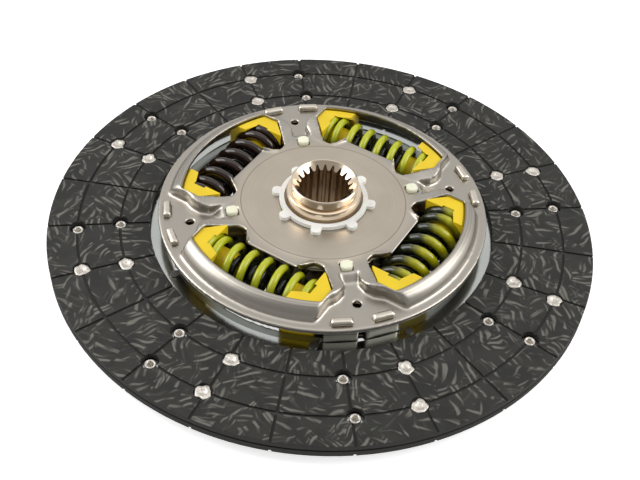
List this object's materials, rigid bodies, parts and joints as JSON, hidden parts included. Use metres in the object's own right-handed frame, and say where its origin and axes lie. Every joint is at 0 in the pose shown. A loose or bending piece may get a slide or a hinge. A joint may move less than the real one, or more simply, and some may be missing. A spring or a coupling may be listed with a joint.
{
  "type": "clutch disc",
  "caption": "Sprung clutch disc: riveted friction rings on a cushion disc, two pressed side plates with coil springs in seats, and a splined hub that twists against them.",
  "frame": {"origin": "on the axis, in the plane that the disc rests on", "axes": "+Z along the axis, out of the hub's longer side; the spring windows are centred on X and Y"},
  "size_m": [0.3, 0.3, 0.0419],
  "materials": {
    "friction_lining": "dark woven friction lining",
    "rivet_metal": "bright",
    "spring_steel": "smooth, oiled",
    "plate_steel": "pressed sheet, satin",
    "hub_steel": "turned and hardened, bronze tint",
    "white_nylon": "moulded",
    "cream_plastic": "moulded",
    "dark_coil": "gloss paint with a yellow-green stripe",
    "green_coil": "gloss paint",
    "brown_coil": "gloss paint",
    "inner_coil": "black",
    "yellow_plastic": "moulded"
  },
  "bodies": {
    "driven_plate": {"facing_upper": "friction_lining", "facing_lower": "friction_lining", "facing_rivets_upper": "rivet_metal", "facing_rivets_lower": "rivet_metal", "cushion_rivets": "rivet_metal", "cushion_disc": "spring_steel", "upper_side_plate": "plate_steel", "lower_side_plate": "plate_steel", "upper_bush": "white_nylon", "lower_bush": "white_nylon", "friction_washer": "cream_plastic", "cone_spring": "spring_steel", "thrust_washer": "spring_steel", "outer_spring_1": "dark_coil", "inner_spring_1": "inner_coil", "outer_spring_2": "green_coil", "inner_spring_2": "inner_coil", "outer_spring_3": "brown_coil", "inner_spring_3": "inner_coil", "outer_spring_4": "green_coil", "inner_spring_4": "inner_coil", "spring_seat_2": "yellow_plastic", "spring_seat_4": "yellow_plastic", "spring_seat_6": "yellow_plastic", "spring_seat_8": "yellow_plastic"},
    "hub_assembly": {"hub": "hub_steel", "spring_seat_1": "yellow_plastic", "spring_seat_3": "yellow_plastic", "spring_seat_5": "yellow_plastic", "spring_seat_7": "yellow_plastic"}
  },
  "joints": [
    {"name": "hub_twist", "type": "hinge", "parent": "driven_plate", "child": "hub_assembly", "pos_m": [0, 0, 0.0163], "axis": [0, 0, 1], "range_deg": [0, 10], "stiffness_Nm_per_rad": 1000, "deforming": ["outer_spring_1", "outer_spring_2", "outer_spring_3", "outer_spring_4", "inner_spring_1", "inner_spring_2", "inner_spring_3", "inner_spring_4"]}
  ]
}
